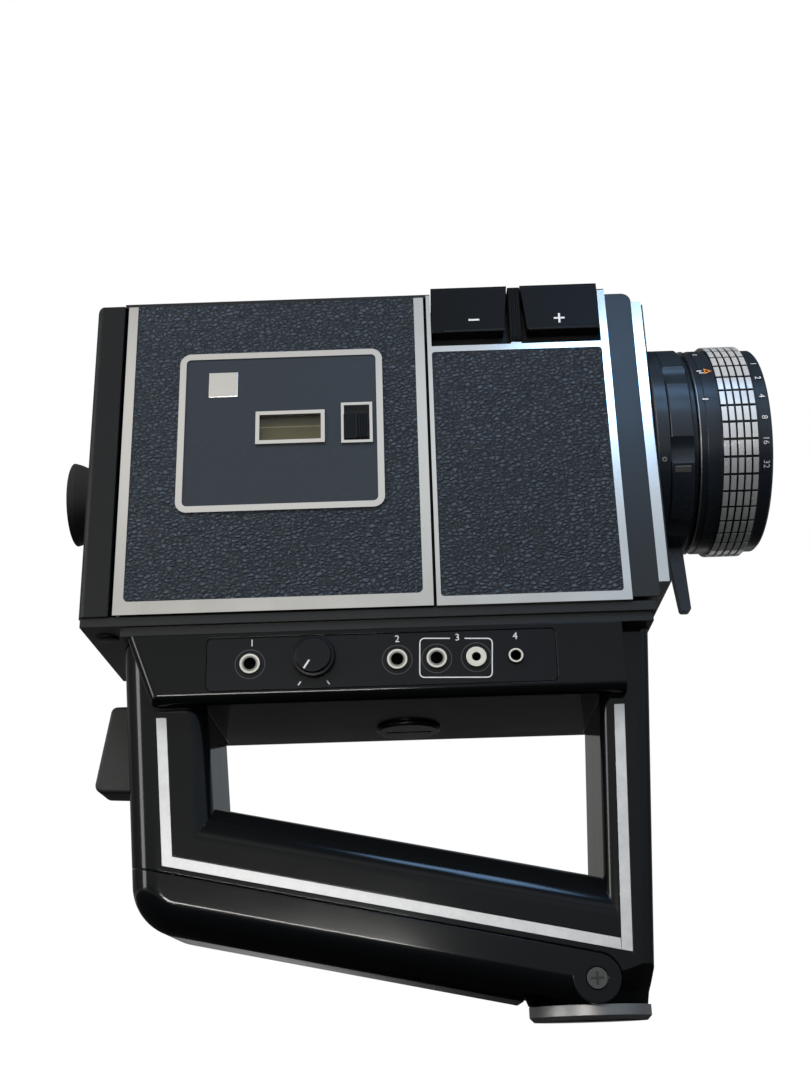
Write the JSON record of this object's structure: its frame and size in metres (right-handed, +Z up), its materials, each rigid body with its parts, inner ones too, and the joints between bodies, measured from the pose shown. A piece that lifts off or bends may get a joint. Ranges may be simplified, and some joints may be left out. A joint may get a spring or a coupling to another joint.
{
  "type": "movie camera",
  "caption": "Hand-held sound movie camera with a loop handle, side-opening film door, zoom lens, power zoom keys, control panel and tripod foot",
  "frame": {"origin": "mouth of the tripod socket, centre of the foot's underside", "axes": "+X towards the lens, +Y away from the film door, +Z up"},
  "size_m": [0.2234, 0.068, 0.2195],
  "materials": {
    "shell_metal": "satin dark grey",
    "rear_plastic": "fine grained black",
    "leatherette": "pebbled charcoal blue",
    "bright_trim": "polished",
    "slate_plate": "satin slate",
    "olive_glass": "tinted",
    "optical_glass": "coated",
    "gloss_black": "polished black",
    "satin_black": "satin black",
    "grey_plastic": "matte grey",
    "light_plastic": "light grey",
    "lens_black": "black anodised",
    "silver_metal": "turned",
    "cup_rubber": "soft black",
    "drive_steel": "ground",
    "drive_brass": "turned",
    "drive_plastic": "moulded",
    "shutter_black": "matte black",
    "board": "laminate",
    "cell_jacket": "plain jacket"
  },
  "bodies": {
    "camera": {"body_shell": "shell_metal", "far_cover": "shell_metal", "rear_cover": "rear_plastic", "front_bezel": "rear_plastic", "base_rail": "rear_plastic", "far_skin": "leatherette", "front_panel_skin": "leatherette", "far_trim": "bright_trim", "front_panel_trim": "bright_trim", "bezel_trim": "bright_trim", "handle_stripes": "bright_trim", "prime_lens": "optical_glass", "eyepiece_lens": "optical_glass", "handle_near_half": "gloss_black", "handle_far_half": "gloss_black", "lower_housing": "gloss_black", "control_panel": "satin_black", "remote_jack": "satin_black", "audio_jacks": "light_plastic", "lens_barrel": "lens_black", "finder_tube": "lens_black", "base_foot": "silver_metal", "eyecup": "cup_rubber", "drive_belt": "cup_rubber", "film_gate": "drive_steel", "door_hinge_pins": "drive_steel", "trigger_pin": "drive_steel", "handle_screws": "drive_steel", "battery_contacts": "drive_steel", "drive_motor": "drive_steel", "sound_head": "drive_steel", "key_switches": "drive_steel", "gain_pot": "drive_plastic", "circuit_board": "board", "battery_cells": "cell_jacket"},
    "film_door_body": {"film_door": "shell_metal", "door_trim": "bright_trim", "door_skin": "leatherette", "door_plate": "slate_plate", "door_plate_frames": "bright_trim", "film_window": "olive_glass", "cartridge_spring": "drive_steel"},
    "door_latch_body": {"door_latch": "bright_trim"},
    "wide_key_body": {"wide_key": "gloss_black"},
    "tele_key_body": {"tele_key": "gloss_black"},
    "run_trigger_body": {"run_trigger": "grey_plastic"},
    "gain_knob_body": {"gain_knob": "satin_black"},
    "battery_cover_body": {"battery_cover": "gloss_black"},
    "cell_cap_body": {"cell_cap": "gloss_black"},
    "zoom_ring_body": {"zoom_ring": "lens_black", "zoom_lever": "lens_black"},
    "focus_ring_body": {"focus_ring": "lens_black", "focus_grips": "silver_metal", "front_lens": "optical_glass"},
    "capstan_body": {"capstan": "drive_steel"},
    "pinch_roller_body": {"pinch_roller": "cup_rubber"},
    "takeup_spindle_body": {"takeup_spindle": "drive_plastic"},
    "pulldown_claw_body": {"pulldown_claw": "drive_steel"},
    "motor_pulley_body": {"motor_pulley": "drive_brass"},
    "shutter_body": {"shutter": "shutter_black"}
  },
  "joints": [
    {"name": "film_door_hinge", "type": "hinge", "parent": "camera", "child": "film_door_body", "pos_m": [-0.1319, -0.0282, 0.165], "axis": [0, 0, -1], "range_deg": [0, 100]},
    {"name": "latch_slide", "type": "slide", "parent": "film_door_body", "child": "door_latch_body", "axis": [0, 0, 1], "range_m": [0, 0.003]},
    {"name": "wide_key_travel", "type": "slide", "parent": "camera", "child": "wide_key_body", "axis": [0, 0, -1], "range_m": [0, 0.0015], "stiffness_N_per_m": 400, "springref_m": -0.0005},
    {"name": "tele_key_travel", "type": "slide", "parent": "camera", "child": "tele_key_body", "axis": [0, 0, -1], "range_m": [0, 0.0015], "stiffness_N_per_m": 400, "springref_m": -0.0005},
    {"name": "trigger_swing", "type": "hinge", "parent": "camera", "child": "run_trigger_body", "pos_m": [-0.1275, 0, 0.0895], "axis": [0, -1, 0], "range_deg": [0, 8], "stiffness_Nm_per_rad": 0.2, "springref_deg": -2.86},
    {"name": "gain_knob_turn", "type": "hinge", "parent": "camera", "child": "gain_knob_body", "pos_m": [-0.0748, -0.0291, 0.0995], "axis": [0, 1, 0], "range_deg": [0, 280]},
    {"name": "battery_cover_hinge", "type": "hinge", "parent": "camera", "child": "battery_cover_body", "pos_m": [0, 0, 0.0103], "axis": [0, -1, 0], "range_deg": [0, 70]},
    {"name": "cell_cap_turn", "type": "hinge", "parent": "camera", "child": "cell_cap_body", "pos_m": [-0.0487, 0.0095, 0.087], "axis": [0, 0, 1], "range_deg": [0, 90]},
    {"name": "zoom_turn", "type": "hinge", "parent": "camera", "child": "zoom_ring_body", "pos_m": [0.0368, 0, 0.173], "axis": [1, 0, 0], "range_deg": [-45, 45]},
    {"name": "focus_turn", "type": "hinge", "parent": "camera", "child": "focus_ring_body", "pos_m": [0.053, 0, 0.173], "axis": [1, 0, 0], "range_deg": [-90, 90]},
    {"name": "capstan_spin", "type": "hinge", "parent": "camera", "child": "capstan_body", "pos_m": [-0.062, 0.02, 0.135], "axis": [0, 1, 0], "continuous": true},
    {"name": "pinch_roller_spin", "type": "hinge", "parent": "camera", "child": "pinch_roller_body", "pos_m": [-0.0555, -0.003, 0.135], "axis": [0, 1, 0], "continuous": true},
    {"name": "motor_spin", "type": "hinge", "parent": "camera", "child": "motor_pulley_body", "pos_m": [-0.112, 0.02, 0.137], "axis": [0, 1, 0], "continuous": true},
    {"name": "takeup_spin", "type": "hinge", "parent": "camera", "child": "takeup_spindle_body", "pos_m": [-0.084, 0.01, 0.173], "axis": [0, 1, 0], "continuous": true},
    {"name": "shutter_spin", "type": "hinge", "parent": "camera", "child": "shutter_body", "pos_m": [-0.034, 0, 0.157], "axis": [1, 0, 0], "continuous": true},
    {"name": "claw_travel", "type": "slide", "parent": "camera", "child": "pulldown_claw_body", "axis": [0, 0, -1], "range_m": [0, 0.00423]}
  ],
  "couplings": [
    {"joint": "pinch_roller_spin", "follows": "capstan_spin", "ratio": -0.24},
    {"joint": "motor_spin", "follows": "capstan_spin", "ratio": 4.25},
    {"joint": "takeup_spin", "follows": "capstan_spin", "ratio": 0.08},
    {"joint": "shutter_spin", "follows": "capstan_spin", "ratio": 1.78}
  ]
}
